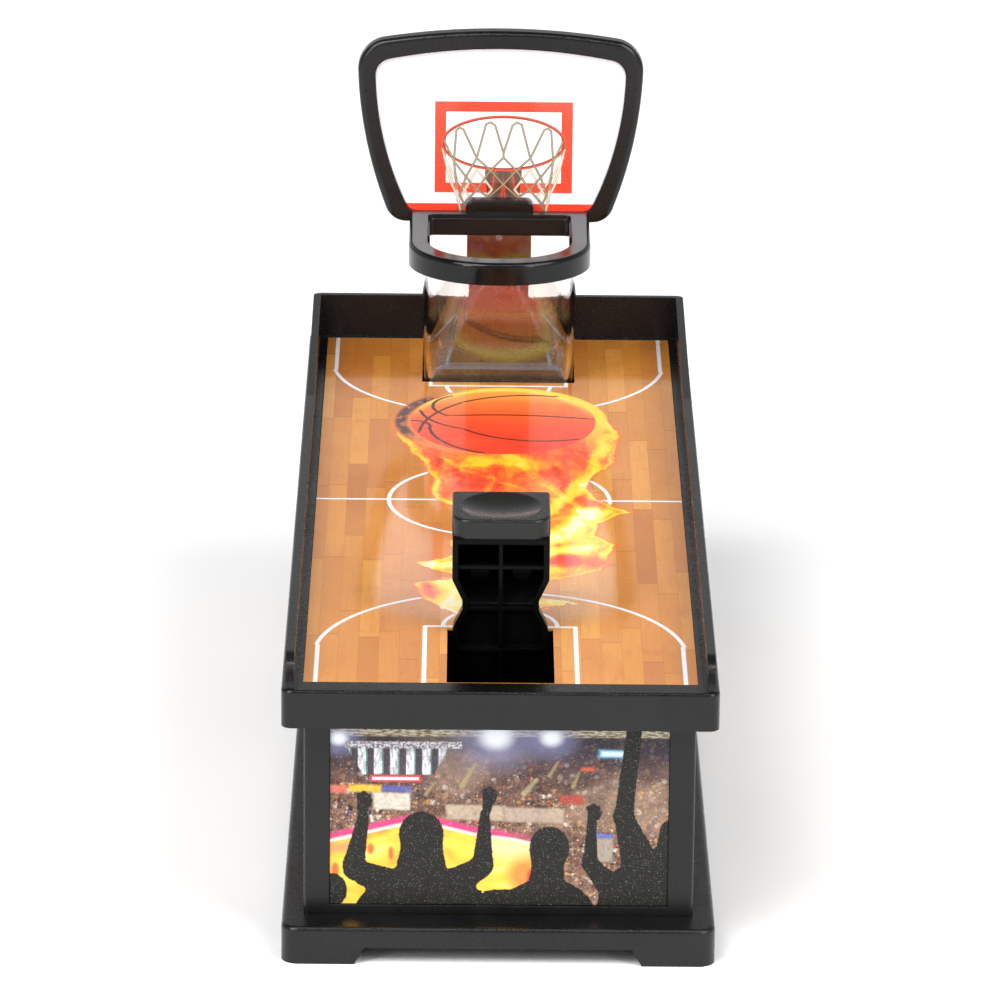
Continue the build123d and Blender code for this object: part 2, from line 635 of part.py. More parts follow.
# ---- screws ----
save("base_screws", Compound(
    [screw((x, y, base_height - wall), (x, y, base_height + screw_length)) for x, y in base_points]))
save("tray_screws", Compound(
    [screw((x, y, body_top - wall), (x, y, body_top + screw_length - wall)) for x, y in tray_points]))
save("bracket_screws", Compound(
    [screw((x, y, body_top - wall), (x, y, body_top + 6.0)) for x, y in bracket_points]))
save("column_screws", Compound(
    [screw((x, y, floor_z(y) - wall - 0.1), (x, y, col_foot + screw_length - 1)) for x, y in col_screws]))
save("backboard_screws", Compound(
    [screw((s * board_screw_x, tongue_y1, board_screw_z), (s * board_screw_x, clip_y0 + 1.5, board_screw_z))
     for s in (-1, 1)]))
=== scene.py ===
import bpy, math
from mathutils import Matrix, Vector


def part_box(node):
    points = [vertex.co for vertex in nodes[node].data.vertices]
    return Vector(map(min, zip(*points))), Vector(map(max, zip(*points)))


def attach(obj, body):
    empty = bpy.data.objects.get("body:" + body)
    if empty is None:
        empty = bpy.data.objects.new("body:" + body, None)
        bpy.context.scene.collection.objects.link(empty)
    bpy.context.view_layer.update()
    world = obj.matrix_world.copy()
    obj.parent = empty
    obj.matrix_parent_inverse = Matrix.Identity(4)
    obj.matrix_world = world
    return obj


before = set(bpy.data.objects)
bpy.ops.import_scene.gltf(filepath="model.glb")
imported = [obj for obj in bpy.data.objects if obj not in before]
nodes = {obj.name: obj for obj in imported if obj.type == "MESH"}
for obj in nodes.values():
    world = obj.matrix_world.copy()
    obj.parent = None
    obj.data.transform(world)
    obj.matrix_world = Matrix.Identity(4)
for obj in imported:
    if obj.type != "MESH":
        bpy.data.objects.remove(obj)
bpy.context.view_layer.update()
scene = bpy.context.scene


# ---------------------------------------------------------------- node writer
def lin(r, g, b):
    """Linear colour from 0-255 sRGB values."""
    out = []
    for c in (r, g, b):
        c /= 255.0
        out.append(c / 12.92 if c <= 0.04045 else ((c + 0.055) / 1.055) ** 2.4)
    return (*out, 1.0)


class S:
    """A node output that can be used in arithmetic."""

    def __init__(self, tree, socket):
        self.t, self.s = tree, socket

    def __add__(self, o): return self.t.m("ADD", self, o)
    def __radd__(self, o): return self.t.m("ADD", o, self)
    def __sub__(self, o): return self.t.m("SUBTRACT", self, o)
    def __rsub__(self, o): return self.t.m("SUBTRACT", o, self)
    def __mul__(self, o): return self.t.m("MULTIPLY", self, o)
    def __rmul__(self, o): return self.t.m("MULTIPLY", o, self)
    def __truediv__(self, o): return self.t.m("DIVIDE", self, o)
    def __neg__(self): return self.t.m("MULTIPLY", self, -1.0)


class Tree:
    """Writes a shader node tree from expressions."""

    def __init__(self, nt):
        self.nt = nt
        self.count = 0

    def put(self, socket, v):
        if isinstance(v, S):
            self.nt.links.new(v.s, socket)
        elif v is not None:
            socket.default_value = v

    def new(self, kind, **props):
        n = self.nt.nodes.new(kind)
        self.count += 1
        n.location = (180 * (self.count % 40), -160 * (self.count // 40))
        for k, v in props.items():
            setattr(n, k, v)
        return n

    def m(self, op, a, b=None, c=None, clamp=False):
        n = self.new("ShaderNodeMath", operation=op, use_clamp=clamp)
        for i, v in enumerate((a, b, c)):
            if v is not None:
                self.put(n.inputs[i], v)
        return S(self, n.outputs[0])

    def v(self, op, a, b=None, scale=None, out=0):
        n = self.new("ShaderNodeVectorMath", operation=op)
        self.put(n.inputs[0], a)
        if b is not None:
            self.put(n.inputs[1], b)
        if scale is not None:
            self.put(n.inputs[3], scale)
        return S(self, n.outputs[out])

    def ab(self, a): return self.m("ABSOLUTE", a)
    def mn(self, *a):
        r = a[0]
        for k in a[1:]:
            r = self.m("MINIMUM", r, k)
        return r
    def mx(self, *a):
        r = a[0]
        for k in a[1:]:
            r = self.m("MAXIMUM", r, k)
        return r
    def vec(self, x=0.0, y=0.0, z=0.0):
        n = self.new("ShaderNodeCombineXYZ")
        for i, v in enumerate((x, y, z)):
            self.put(n.inputs[i], v)
        return S(self, n.outputs[0])

    def xyz(self, vector):
        n = self.new("ShaderNodeSeparateXYZ")
        self.put(n.inputs[0], vector)
        return [S(self, o) for o in n.outputs]

    def place(self):
        """Object-space X, Y, Z in millimetres."""
        n = self.new("ShaderNodeTexCoord")
        return self.xyz(self.v("SCALE", S(self, n.outputs["Object"]), scale=1000.0))

    def smooth(self, x, a, b, lo=0.0, hi=1.0):
        n = self.new("ShaderNodeMapRange", interpolation_type="SMOOTHSTEP", clamp=True)
        self.put(n.inputs["Value"], x)
        for k, v in (("From Min", a), ("From Max", b), ("To Min", lo), ("To Max", hi)):
            self.put(n.inputs[k], v)
        return S(self, n.outputs["Result"])

    def cover(self, d, soft=0.12):
        """1 inside the distance field, 0 outside, soft in millimetres."""
        return self.m("MULTIPLY_ADD", d, -1.0 / soft, 0.5, clamp=True)

    def mix(self, fac, a, b, blend="MIX"):
        n = self.new("ShaderNodeMix", data_type="RGBA", blend_type=blend)
        self.put(n.inputs[0], fac)
        self.put(n.inputs[6], a)
        self.put(n.inputs[7], b)
        return S(self, n.outputs[2])

    def noise(self, vector, scale=1.0, detail=3.0, rough=0.5, distortion=0.0, colour=False):
        n = self.new("ShaderNodeTexNoise")
        self.put(n.inputs["Vector"], vector)
        n.inputs["Scale"].default_value = scale
        n.inputs["Detail"].default_value = detail
        n.inputs["Roughness"].default_value = rough
        n.inputs["Distortion"].default_value = distortion
        return S(self, n.outputs["Color" if colour else "Fac"])

    def cells(self, vector, scale=1.0, randomness=1.0):
        n = self.new("ShaderNodeTexVoronoi")
        self.put(n.inputs["Vector"], vector)
        n.inputs["Scale"].default_value = scale
        n.inputs["Randomness"].default_value = randomness
        return S(self, n.outputs["Distance"]), S(self, n.outputs["Color"])

    def white(self, vector):
        n = self.new("ShaderNodeTexWhiteNoise", noise_dimensions="3D")
        self.put(n.inputs["Vector"], vector)
        return S(self, n.outputs["Value"]), S(self, n.outputs["Color"])

    def ramp(self, fac, stops, mode="LINEAR"):
        n = self.new("ShaderNodeValToRGB")
        n.color_ramp.interpolation = mode
        while len(n.color_ramp.elements) < len(stops):
            n.color_ramp.elements.new(0.5)
        for e, (p, c) in zip(n.color_ramp.elements, stops):
            e.position = p
        for e, (p, c) in zip(n.color_ramp.elements, stops):
            e.color = c if isinstance(c, tuple) else (c, c, c, 1.0)
        self.put(n.inputs[0], fac)
        return S(self, n.outputs["Color"])

    def curve(self, y, points, y0, y1, v0, v1):
        """Value at y along a polyline of (y, value) points."""
        t = (y - y0) * (1.0 / (y1 - y0))
        stops = [((py - y0) / (y1 - y0), (pv - v0) / (v1 - v0)) for py, pv in points]
        return self.ramp(t, stops) * (v1 - v0) + v0

    # distance fields, all in millimetres
    def box(self, x, y, x0, x1, y0, y1):
        return self.mx(self.ab(x - (x0 + x1) / 2) - (x1 - x0) / 2,
                       self.ab(y - (y0 + y1) / 2) - (y1 - y0) / 2)

    def ellipse(self, p, cx, cy, a, b):
        q = self.v("DIVIDE", self.v("SUBTRACT", p, (cx, cy, 0.0)), (a, b, 1.0))
        r = self.v("LENGTH", q, out=1)
        grad = self.v("LENGTH", self.v("DIVIDE", q, (a, b, 1.0)), out=1)
        return (r - 1.0) * r / (grad + 1e-4)

    def segment(self, p, a, b, r0, r1=None):
        """Round-ended bar from a to b, its radius going from r0 to r1."""
        a3, b3 = Vector((*a, 0.0)), Vector((*b, 0.0))
        ba = b3 - a3
        pa = self.v("SUBTRACT", p, tuple(a3))
        h = self.m("MULTIPLY", self.v("DOT_PRODUCT", pa, tuple(ba / ba.length_squared), out=1),
                   1.0, clamp=True)
        d = self.v("LENGTH", self.v("SUBTRACT", pa, self.v("SCALE", tuple(ba), scale=h)), out=1)
        if r1 is None or r1 == r0:
            return d - r0
        return d - (h * (r1 - r0) + r0)

    def arc(self, p, a, b, c, w):
        """Line of half width w along the circle through a, b and c, from a to c."""
        (ax, ay), (bx, by), (cx, cy) = a, b, c
        d = 2 * (ax * (by - cy) + bx * (cy - ay) + cx * (ay - by))
        ux = ((ax * ax + ay * ay) * (by - cy) + (bx * bx + by * by) * (cy - ay)
              + (cx * cx + cy * cy) * (ay - by)) / d
        uy = ((ax * ax + ay * ay) * (cx - bx) + (bx * bx + by * by) * (ax - cx)
              + (cx * cx + cy * cy) * (bx - ax)) / d
        radius = math.hypot(ax - ux, ay - uy)
        line = self.ab(self.v("LENGTH", self.v("SUBTRACT", p, (ux, uy, 0.0)), out=1) - radius) - w
        nx, ny = cy - ay, ax - cx
        length = math.hypot(nx, ny)
        if (bx - ax) * nx + (by - ay) * ny < 0:
            nx, ny = -nx, -ny
        side = self.v("DOT_PRODUCT", self.v("SUBTRACT", p, (ax, ay, 0.0)),
                      (nx / length, ny / length, 0.0), out=1)
        return self.mx(line, -side)


def material(name, colour, rough, coat=0.0, coat_rough=0.08, ior=1.5, metallic=0.0,
             transmission=0.0, specular=0.5):
    """A Principled material, its tree writer and its shader."""
    mat = bpy.data.materials.new(name)
    mat.use_nodes = True
    nt = mat.node_tree
    bsdf = nt.nodes["Principled BSDF"]
    for key, value in (("Base Color", colour), ("Roughness", rough), ("Coat Weight", coat),
                       ("Coat Roughness", coat_rough), ("IOR", ior), ("Metallic", metallic),
                       ("Transmission Weight", transmission), ("Specular IOR Level", specular)):
        bsdf.inputs[key].default_value = value
    return mat, Tree(nt), bsdf


def bump(t, bsdf, height, strength, distance, edge=0.0):
    """Surface relief in metres. edge is the radius to which corners are shaded round."""
    n = t.new("ShaderNodeBump")
    if edge:
        soft = t.new("ShaderNodeBevel", samples=4)
        soft.inputs["Radius"].default_value = edge
        t.nt.links.new(soft.outputs[0], n.inputs["Normal"])
    n.inputs["Strength"].default_value = strength
    n.inputs["Distance"].default_value = distance
    t.put(n.inputs["Height"], height)
    t.nt.links.new(n.outputs[0], bsdf.inputs["Normal"])


def plastic(name, colour, rough, grain=0.25, grain_size=2.2, tint=(1.35, 1.3, 1.25), specular=0.5):
    """Moulded plastic: spark-eroded grain, flow marks, faint dust and handling marks."""
    mat, t, bsdf = material(name, colour, rough, specular=specular)
    p = t.vec(*t.place())
    flow = t.noise(p, 0.035, 3.0, 0.55, 0.6)
    dust = t.noise(p, 0.9, 6.0, 0.7)
    fine = t.noise(p, grain_size, 2.0, 0.6)
    specks, _ = t.cells(p, 0.55)
    light = tuple(min(1.0, c * k + 0.002) for c, k in zip(colour, tint)) + (1.0,)
    col = t.mix(t.smooth(flow, 0.35, 0.7), colour, light)
    specked = t.smooth(specks, 0.06, 0.03) * t.smooth(dust, 0.5, 0.62) * 0.5
    col = t.mix(specked, col, (0.16, 0.155, 0.15, 1.0))
    t.put(bsdf.inputs["Base Color"], col)
    wear = t.smooth(dust, 0.35, 0.75, -0.05, 0.09) + t.smooth(flow, 0.3, 0.7, -0.03, 0.05)
    t.put(bsdf.inputs["Roughness"], wear + rough)
    bump(t, bsdf, fine * 0.7 + dust * 0.3, grain, 0.00006, edge=0.00045)
    return mat


def metal(name, colour, rough):
    """Metal with fine brushing."""
    mat, t, bsdf = material(name, colour, rough, metallic=1.0)
    p = t.vec(*t.place())
    brush = t.noise(t.v("MULTIPLY", p, (6.0, 0.6, 6.0)), 1.0, 4.0, 0.6)
    dark = tuple(c * 0.7 for c in colour[:3]) + (1.0,)
    t.put(bsdf.inputs["Base Color"], t.mix(t.smooth(brush, 0.3, 0.7), colour, dark))
    t.put(bsdf.inputs["Roughness"], t.smooth(brush, 0.3, 0.7, rough - 0.08, rough + 0.12))
    bump(t, bsdf, brush, 0.15, 0.00003)
    return mat


def clear_material():
    """Clear moulded styrene, a little wavy and with faint hazy patches."""
    mat, t, bsdf = material("clear_styrene", (0.985, 0.975, 0.96, 1), 0.0, ior=1.56, transmission=1.0,
                            coat=1.0, coat_rough=0.0)
    p = t.vec(*t.place())
    t.put(bsdf.inputs["Roughness"], t.smooth(t.noise(p, 0.25, 4.0, 0.6), 0.5, 0.85, 0.0, 0.035))
    bump(t, bsdf, t.noise(p, 0.04, 2.0, 0.5), 0.12, 0.0006)
    return mat


def paint(mat, *names):
    """Gives the named CAD pieces one material."""
    for name in names:
        slots = nodes[name].data.materials
        slots.clear()
        slots.append(mat)


# ---------------------------------------------------------------- court print
COURT_MID = -0.3          # half-way line, along Y
LINE = 0.58               # half width of a painted line
STRIP = 5.4               # width of a floor strip
PLANK = 62.0              # length of a floor strip
THROW_LINE = 104.9        # free-throw line, from the half-way line
CENTRE_CIRCLE = 31.3
KEY_HALF = 20.2
THROW_CIRCLE = 15.4
ARC_HALF = 48.7           # straight part of the three-point line
ARC_MID, ARC_RADIUS = 127.2, 49.6


def wood(t, x, y):
    """Wooden strips along Y with staggered butt joints."""
    strip = t.m("FLOOR", x * (1 / STRIP))
    stagger, _ = t.white(t.vec(strip, 3.7, 1.3))
    along = y * (1 / PLANK) + stagger * 7.3
    plank = t.m("FLOOR", along)
    tone, _ = t.white(t.vec(strip, plank, 9.1))
    hue, _ = t.white(t.vec(plank, strip, 4.3))
    col = t.ramp(tone, [(0.0, lin(178, 106, 32)), (0.35, lin(196, 124, 40)), (0.7, lin(207, 137, 47)),
                        (1.0, lin(221, 155, 66))])
    col = t.mix(hue * 0.3, col, lin(216, 136, 72))
    grain = t.noise(t.vec(x * 1.4, y * 0.07, plank), 1.0, 6.0, 0.65, 0.8)
    col = t.mix(t.smooth(grain, 0.42, 0.72) * 0.35, col, lin(176, 92, 28))
    blot = t.noise(t.vec(x * 0.09, y * 0.05, strip), 1.0, 4.0, 0.6, 0.4)
    col = t.mix(t.smooth(blot, 0.5, 0.78) * 0.45, col, lin(184, 94, 26))
    cloud = t.noise(t.vec(x * 0.03, y * 0.02, 3.0), 1.0, 3.0, 0.5)
    col = t.mix(t.smooth(cloud, 0.4, 0.7) * 0.3, col, lin(222, 150, 66))
    edge = t.ab(t.m("FRACT", x * (1 / STRIP)) - 0.5)
    seam = t.smooth(edge, 0.475, 0.497)
    butt = t.smooth(t.ab(t.m("FRACT", along) - 0.5), 0.493, 0.4985)
    return t.mix(t.mx(seam * 0.35, butt * 0.5), col, lin(120, 60, 20))


def court_lines(t, x, y):
    """Distance to the nearest painted line, mirrored about the half-way line."""
    yy = y - COURT_MID
    ay, ax = t.ab(yy), t.ab(x)
    far = t.ab(yy) - THROW_LINE
    mid = ay - LINE
    circle = t.ab(t.v("LENGTH", t.vec(x, yy, 0.0), out=1) - CENTRE_CIRCLE) - LINE
    three_side = t.mx(t.ab(ax - ARC_HALF) - LINE, 119.6 - ay)
    three_arc = t.mx(t.ab(t.v("LENGTH", t.vec(x, ay - ARC_MID, 0.0), out=1) - ARC_RADIUS) - LINE, ay - 119.8)
    key_side = t.mx(t.ab(ax - KEY_HALF) - LINE, 104.4 - ay)
    key_top = t.mx(t.ab(far) - LINE, ax - 20.7)
    throw = t.mx(t.ab(t.v("LENGTH", t.vec(x, far, 0.0), out=1) - THROW_CIRCLE) - LINE, far)
    return t.mn(mid, circle, three_side, three_arc, key_side, key_top, throw)


def flame(t, p, x, y, under):
    """Fire that trails from the ball towards the player."""
    warp = t.noise(t.vec(x * 0.05, y * 0.035, 2.0), 1.0, 3.0, 0.55, 0.5, colour=True)
    wx, wy, _ = t.xyz(t.v("SUBTRACT", warp, (0.5, 0.5, 0.5)))
    ripple = t.noise(t.vec(x * 0.22, y * 0.12, 9.0), 1.0, 3.0, 0.6, 0.8, colour=True)
    rx, ry, _ = t.xyz(t.v("SUBTRACT", ripple, (0.5, 0.5, 0.5)))
    fx, fy = x + wx * 5.0 + rx * 3.6, y + wy * 7.0 + ry * 5.0
    left = t.curve(fy, [(-100, -9.0), (-94, -13.0), (-83, -20.5), (-71, -24.0), (-67, -12.0), (-62, -15.0),
                        (-55, -23.0), (-45, -12.0), (-38, -14.0), (-20, -8.0), (-4, -13.5), (2, -18.0),
                        (11, -19.5), (20, -18.8), (30, -20.5), (42, -25.5), (60, -30.0), (73, -30.5),
                        (86, -26.5), (96, -16.0)], -102, 104, -40, 40)
    right = t.curve(fy, [(-96, 8.0), (-90, 12.0), (-86, 21.5), (-82, 10.0), (-70, 10.0), (-67, 15.0),
                         (-60, 28.5), (-48, 30.0), (-38, 33.0), (-31, 26.5), (-20, 28.0), (-13, 34.0),
                         (-10.5, 38.0), (-7, 33.0), (0, 27.5), (9, 25.0), (19, 25.5), (27, 29.0), (34, 33.5),
                         (42, 32.5), (56, 34.5), (70, 33.0), (86, 28.0), (98, 17.0)], -102, 104, -40, 40)
    inside = t.mn(fx - left, right - fx, fy + 98.0, 95.0 - y)
    lick = t.noise(t.vec(fx * 0.16, fy * 0.04, 5.0), 1.0, 5.0, 0.6, 1.2)
    swirl = t.noise(t.vec(fx * 0.06 + fy * 0.02, fy * 0.05 - fx * 0.02, 8.0), 1.0, 4.0, 0.55, 2.4)
    q = t.vec(fx, fy, 0.0)
    low = t.smooth(y, 16.0, -14.0)
    heat = lick * 0.85 + swirl * 0.5 - 0.35 + low * 0.17
    for d, reach, gain in (
            (t.arc(q, (31.0, 72.0), (28.0, 36.0), (15.0, -8.0), 0.6), 2.6, 0.34),
            (t.arc(q, (-28.5, 62.0), (-21.5, 34.0), (-18.5, 8.0), 0.2), 1.8, 0.20),
            (t.arc(q, (-16.0, 38.0), (-7.0, 24.0), (2.0, 14.0), 0.2), 1.6, 0.16),
            (t.arc(q, (4.0, 38.0), (10.0, 22.0), (17.0, 6.0), 0.6), 2.4, 0.20),
            (t.segment(q, (25.5, 12.0), (23.5, -8.0), 1.0), 4.0, 0.26),
            (t.segment(q, (15.0, -34.0), (26.5, -11.0), 1.6), 4.6, 0.46),
            (t.segment(q, (13.0, -45.0), (24.0, -41.5), 1.0), 4.0, 0.36),
            (t.segment(q, (12.0, 31.0), (-9.0, 35.0), 1.5), 7.0, 0.22),
            (t.segment(q, (-13.0, -54.5), (-18.0, -55.0), 1.0), 3.0, 0.42),
            (t.segment(q, (-14.5, -70.0), (-10.5, -95.0), 2.2), 4.0, 0.36),
            (t.segment(q, (10.0, -86.0), (18.0, -85.4), 0.6), 3.0, 0.30)):
        heat = heat + t.smooth(d, reach, 0.0) * gain
    for ex, ey, ea, eb, gain in ((17.5, -51.0, 5.0, 5.5, 0.34), (24.0, -1.5, 4.2, 6.0, 0.22),
                                 (-18.5, -77.0, 4.0, 6.0, 0.26), (27.0, -53.0, 4.0, 5.0, 0.22)):
        heat = heat - t.smooth(t.ellipse(p, ex, ey, ea, eb), 2.5, -2.5) * gain
    heat = heat + t.smooth(inside, 3.0, 0.5) * 0.25
    col = t.ramp(heat, [(0.06, lin(170, 34, 14)), (0.22, lin(236, 66, 26)), (0.36, lin(248, 104, 34)),
                        (0.50, lin(252, 152, 36)), (0.62, lin(253, 196, 30)), (0.78, lin(250, 216, 44)),
                        (0.94, lin(250, 228, 120)), (1.0, lin(250, 240, 190))])
    spark, spark_col = t.cells(t.vec(x, y, 0.0), 1.3)
    sr, _, _ = t.xyz(spark_col)
    zone = t.smooth(y, -8.0, 8.0) * t.smooth(sr, 0.45, 0.55)
    col = t.mix(t.smooth(spark, 0.30, 0.14) * zone * 0.7, col, lin(255, 170, 70))
    grit = t.noise(t.vec(x, y, 0.0), 1.6, 3.0, 0.7)
    col = t.mix(t.smooth(grit, 0.52, 0.66) * t.smooth(y, -20.0, 20.0) * 0.4, col, lin(214, 44, 20))
    fringe = t.mix(t.smooth(inside, -1.6, 0.2) * 0.8, under, lin(232, 92, 40))
    return t.mix(t.smooth(inside, -0.25, 0.7), fringe, col)


def ball(t, p, x, y, under):
    cx, cy, a, b = 1.3, 71.0, 27.2, 30.4
    d = t.ellipse(p, cx, cy, a, b)
    u, v = (x - cx) * (1 / a), (y - cy) * (1 / b)
    # scorched crescent on the left and the bright edge of the fire on the right
    outer = t.ellipse(p, cx - 2.9, cy - 1.0, a + 2.4, b + 0.4)
    haze = t.noise(t.vec(x * 0.35, y * 0.22, 0.0), 1.0, 5.0, 0.6, 0.6)
    halo = t.cover(outer, 1.6) * t.smooth(u, 0.1, -0.6)
    col = t.mix(halo, under, lin(232, 128, 62))
    around = t.vec((x - cx + 2.2) * (1 / (a + 0.6)), (y - cy + 0.6) * (1 / b), 0.0)
    band = t.ab(t.v("LENGTH", around, out=1) - 1.0)
    ends = t.smooth(v, -0.72, -0.3)
    soot = t.smooth(band, 0.10, 0.03) * t.smooth(u, -0.45, -0.75) * ends * t.smooth(v, 0.9, 0.6)
    col = t.mix(soot * t.smooth(haze, 0.25, 0.5) * 0.95, col, lin(58, 34, 40))
    glow = t.cover(t.ellipse(p, cx + 1.4, cy + 0.6, a + 2.0, b + 0.9), 1.0)
    col = t.mix(glow * t.smooth(u + v * 0.4, -0.35, 0.25) * t.smooth(v, -0.75, 0.1), col, lin(252, 208, 56))
    shade = t.smooth(v, -1.0, 1.0)
    skin = t.ramp(shade + u * u * 0.12 - 0.04,
                  [(0.0, lin(232, 56, 28)), (0.35, lin(246, 70, 32)), (0.62, lin(252, 92, 42)),
                   (0.84, lin(252, 116, 50)), (1.0, lin(255, 172, 76))])
    pebble = t.noise(t.vec(x, y, 0.0), 2.2, 2.0, 0.6)
    skin = t.mix(t.smooth(pebble, 0.5, 0.75) * 0.16, skin, lin(176, 40, 20))
    blush = t.noise(t.vec(x * 0.04, y * 0.04, 0.0), 1.0, 3.0, 0.5, 0.5)
    skin = t.mix(t.smooth(blush, 0.45, 0.75) * 0.35, skin, lin(255, 116, 62))
    edge_glow = t.smooth(d, -3.2, -0.2) * t.smooth(v, 0.05, 0.75)
    skin = t.mix(edge_glow * 0.85, skin, lin(255, 226, 92))
    w = 0.52
    seams = t.mn(
        t.arc(p, (-13.5, 95.0), (-19.3, 83.5), (-14.6, 75.9), w),
        t.arc(p, (-14.6, 75.9), (8.0, 76.8), (28.4, 73.4), w),
        t.arc(p, (-23.2, 60.5), (-20.4, 74.0), (-10.6, 88.6), w),
        t.arc(p, (-10.6, 88.6), (3.0, 95.2), (18.0, 94.6), w),
        t.arc(p, (-23.0, 81.0), (-19.4, 71.0), (-10.5, 64.0), w),
        t.arc(p, (-10.5, 64.0), (7.0, 53.4), (23.4, 55.2), w),
        t.arc(p, (-26.0, 71.2), (-22.6, 70.4), (-20.2, 64.6), w),
        t.arc(p, (-20.2, 64.6), (-14.6, 49.5), (-3.6, 41.2), w))
    skin = t.mix(t.cover(seams, 0.3) * 0.95, skin, lin(40, 24, 20))
    return t.mix(t.cover(d, 0.25), col, skin)


def court_material():
    mat, t, bsdf = material("court_print", (0.6, 0.3, 0.1, 1), 0.4, coat=0.8, coat_rough=0.085,
                            specular=0.1)
    x, y, _ = t.place()
    p = t.vec(x, y, 0.0)
    col = wood(t, x, y)
    col = t.mix(t.cover(court_lines(t, x, y), 0.2), col, lin(240, 240, 244))
    col = flame(t, p, x, y, col)
    col = ball(t, p, x, y, col)
    t.put(bsdf.inputs["Base Color"], col)
    dust = t.noise(p, 0.08, 2.0, 0.5)
    t.put(bsdf.inputs["Roughness"], t.smooth(dust, 0.3, 0.8, 0.26, 0.38))
    return mat


# ---------------------------------------------------------------- board print
def board_material():
    mat, t, bsdf = material("backboard_art", (0.9, 0.9, 0.9, 1), 0.3, coat=0.6, coat_rough=0.05)
    gx, _, z = t.place()
    x = gx - 1.1
    p = t.vec(x, z, 0.0)
    white, red = lin(246, 245, 249), lin(250, 66, 42)
    tone = t.noise(t.vec(x * 0.03, z * 0.03, 0.0), 1.0, 2.0)
    col = t.mix(t.smooth(tone, 0.35, 0.7), white, lin(240, 239, 245))
    ink = t.noise(p, 2.4, 3.0, 0.6)
    red_col = t.mix(t.smooth(ink, 0.4, 0.75) * 0.2, red, lin(255, 96, 66))
    outer = t.box(x, z, -20.8, 20.8, 130.0, 158.4)
    inner = t.box(x, z, -17.4, 17.4, 133.1, 155.2)
    col = t.mix(t.cover(t.mx(outer, -inner), 0.14), col, red_col)
    col = t.mix(t.cover(z - 126.6, 0.14), col, red_col)
    # hoop seen from below: bracket, ring and a knotted net, all mirrored about its middle
    m = t.ab(x)
    q = t.vec(m, z, 0.0)
    bracket = t.mx(m - t.smooth(z, 129.0, 137.0, 5.0, 5.6), z - 137.2, 126.5 - z)
    steel = t.ramp(t.m("FRACT", m * 0.31 + z * 0.05),
                   [(0.0, lin(62, 42, 34)), (0.5, lin(104, 70, 52)), (0.62, lin(214, 62, 38)),
                    (0.8, lin(96, 48, 36))])
    col = t.mix(t.cover(bracket, 0.2) * 0.95, col, steel)
    ring_c, ring_a, ring_b = 145.5, 18.4, 8.2

    def strands(segs, colour, edge, width, under):
        d = None
        for a, b in segs:
            s = t.segment(q, a, b, width)
            d = s if d is None else t.mn(d, s)
        body = t.cover(d, 0.12)
        core = t.smooth(d, -width * 0.2, -width)
        return t.mix(body, under, t.mix(core, edge, colour))

    near = [((18.0, 141.2), (14.4, 134.6)), ((14.4, 134.6), (10.4, 129.0)), ((10.4, 129.0), (13.0, 123.6)),
            ((8.0, 137.4), (11.0, 132.0)), ((11.0, 132.0), (13.6, 127.4)), ((8.0, 137.4), (3.4, 131.0)),
            ((18.4, 143.6), (16.2, 134.0)), ((16.2, 134.0), (13.7, 128.4)), ((13.7, 128.4), (12.6, 122.8)),
            ((3.4, 131.0), (6.6, 127.2)), ((14.4, 134.6), (13.6, 127.4)), ((17.4, 140.0), (15.2, 133.0))]
    far = [((2.6, 151.0), (0.0, 142.4)), ((5.4, 151.3), (8.1, 140.8)), ((4.0, 152.0), (2.6, 151.0)),
           ((4.0, 152.0), (5.4, 151.3)), ((12.2, 149.7), (8.1, 140.8)), ((14.3, 149.5), (15.0, 139.8)),
           ((13.3, 150.2), (12.2, 149.7)), ((13.3, 150.2), (14.3, 149.5)), ((18.0, 146.2), (15.0, 139.8)),
           ((0.0, 142.4), (0.0, 141.0)), ((0.0, 141.0), (3.9, 137.0)), ((8.1, 140.8), (3.9, 137.0)),
           ((8.1, 140.8), (11.3, 134.9)), ((15.0, 139.8), (11.3, 134.9)), ((3.9, 137.0), (0.0, 132.6)),
           ((3.9, 137.0), (8.0, 131.0)), ((11.3, 134.9), (8.0, 131.0)), ((11.3, 134.9), (13.2, 129.4)),
           ((15.0, 139.8), (13.9, 131.2)), ((0.0, 132.6), (4.4, 128.6)), ((8.0, 131.0), (4.4, 128.6)),
           ((8.0, 131.0), (11.8, 126.4)), ((13.2, 129.4), (11.8, 126.4)), ((11.8, 126.4), (13.3, 122.4))]
    for tie in ((14.4, 134.6), (11.0, 132.0), (3.9, 137.0), (8.0, 131.0), (11.3, 134.9), (13.6, 127.6)):
        col = t.mix(t.cover(t.v("LENGTH", t.v("SUBTRACT", q, (*tie, 0.0)), out=1) - 0.62, 0.2), col,
                    lin(198, 182, 156))
    col = strands(near, lin(232, 224, 210), lin(186, 160, 134), 0.36, col)
    ring_d = t.ab(t.ellipse(p, 0.0, ring_c, ring_a, ring_b))
    ring_up = t.smooth(t.ellipse(p, 0.0, ring_c, ring_a, ring_b), -0.5, 0.35)
    ring_col = t.mix(ring_up, lin(92, 44, 30), lin(242, 84, 48))
    col = t.mix(t.cover(ring_d - 0.46, 0.14), col, ring_col)
    col = strands(far, lin(176, 166, 136), lin(100, 84, 54), 0.33, col)
    t.put(bsdf.inputs["Base Color"], col)
    t.put(bsdf.inputs["Roughness"], t.smooth(ink, 0.3, 0.8, 0.24, 0.36))
    bump(t, bsdf, t.noise(p, 0.25, 2.0), 0.15, 0.0002)
    return mat


